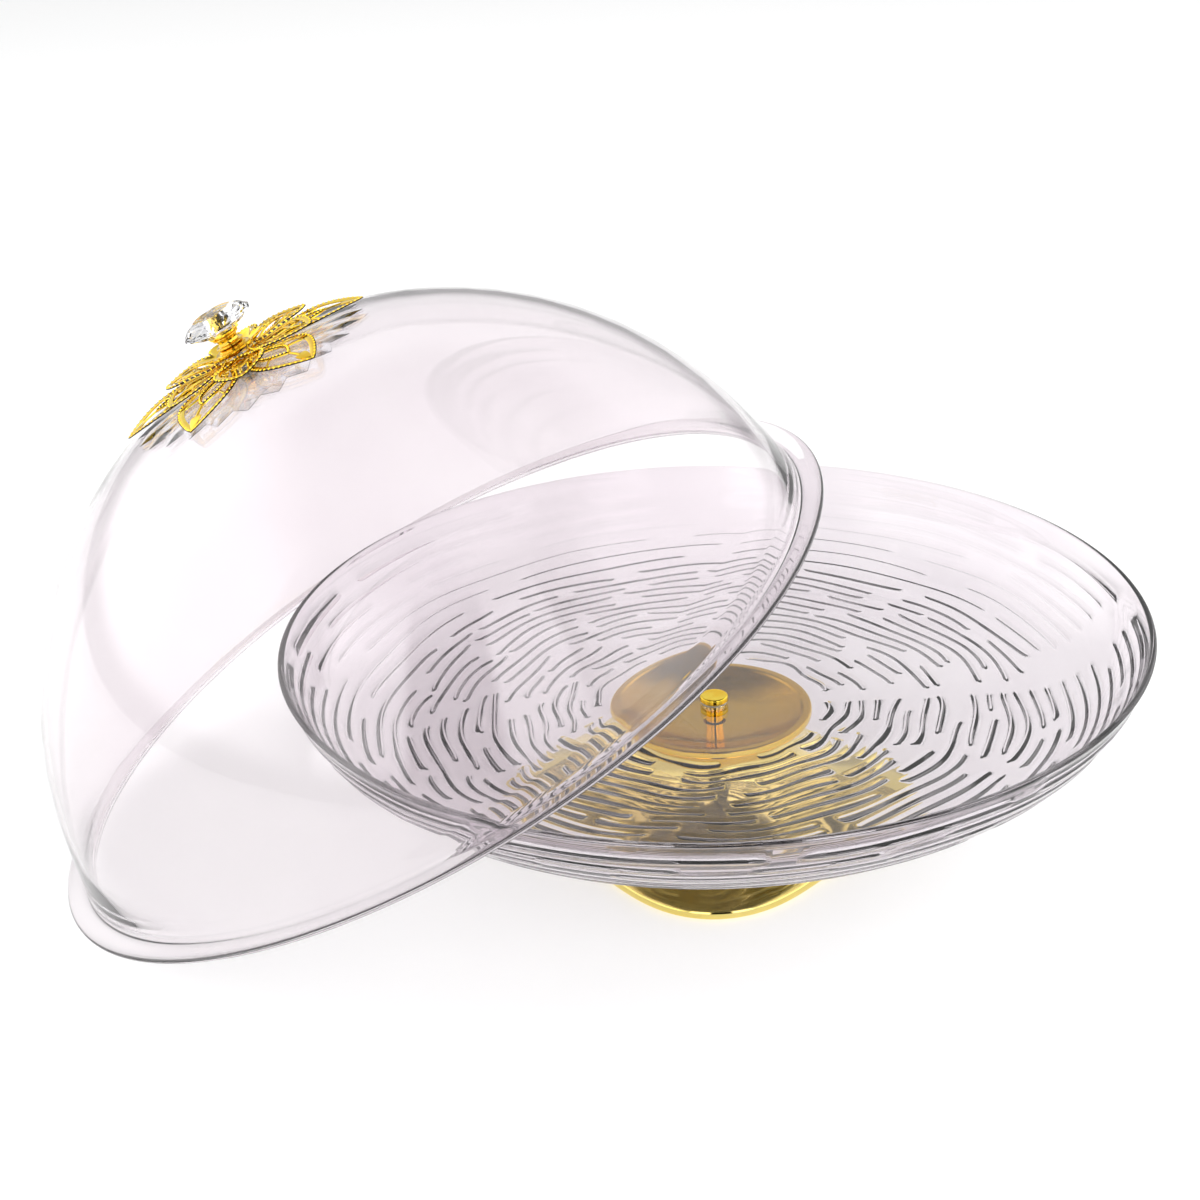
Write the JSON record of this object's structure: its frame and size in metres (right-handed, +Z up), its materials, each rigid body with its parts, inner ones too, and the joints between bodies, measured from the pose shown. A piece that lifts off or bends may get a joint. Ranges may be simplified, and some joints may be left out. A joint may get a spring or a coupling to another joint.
{
  "type": "domed cake stand",
  "caption": "Shallow clear cake plate on a gold pedestal with a lobed foot, and a clear domed cover with a flange, an openwork gold flower and a faceted crystal knob, leaning over it.",
  "frame": {"origin": "bottom centre of the whole part's box, at table level; the stand's own axis stands 45 mm towards +X from it", "axes": "+Z up, +X from the leaning dome towards the plate, +Y away from the side that the dome's ornament is seen from"},
  "size_m": [0.4204, 0.33, 0.2185],
  "materials": {
    "plated_plastic": "electroplated, mirror bright",
    "plated_metal": "stamped and turned, plated, bright",
    "insert_brass": "machined, knurled",
    "plate_clear": "injection moulded, clear, rippled",
    "dome_clear": "blow formed, clear, polished",
    "crystal_clear": "cut and polished",
    "washer_clear": "soft, clear",
    "cover_plastic": "moulded, fine grain",
    "pad_rubber": "soft, matt",
    "screw_steel": "zinc plated"
  },
  "bodies": {
    "stand": {"pedestal": "plated_plastic", "pedestal_top": "plated_plastic", "threaded_insert": "insert_brass", "base_cover": "cover_plastic", "foot_pad_1": "pad_rubber", "foot_pad_2": "pad_rubber", "foot_pad_3": "pad_rubber", "foot_pad_4": "pad_rubber", "plate": "plate_clear"},
    "washer": {"screw_washer": "washer_clear"},
    "thumb_screw": {"thumb_screw": "plated_metal"},
    "dome": {"dome_shell": "dome_clear", "rosette": "crystal_clear", "filigree_lower": "plated_metal", "filigree_upper": "plated_metal", "bead_cap": "plated_metal", "knob_collar": "plated_metal", "knob_stem": "plated_metal", "knob_cup": "plated_metal", "knob_crystal": "crystal_clear", "knob_washer": "washer_clear", "knob_screw": "screw_steel"}
  },
  "joints": [
    {"name": "dome_cover", "type": "hinge", "parent": "stand", "child": "dome", "pos_m": [0.04588, 0, -0.14854], "axis": [0, 1, 0], "range_deg": [0, 25.74]},
    {"name": "washer_rise", "type": "slide", "parent": "stand", "child": "washer", "axis": [0, 0, 1], "range_m": [0, 0.003]},
    {"name": "screw_turn", "type": "hinge", "parent": "washer", "child": "thumb_screw", "pos_m": [0.04516, 0, 0.05], "axis": [0, 0, 1], "range_deg": [0, 1080]}
  ],
  "couplings": [
    {"joint": "screw_turn", "follows": "washer_rise", "rad_per_m": 6283.2}
  ]
}
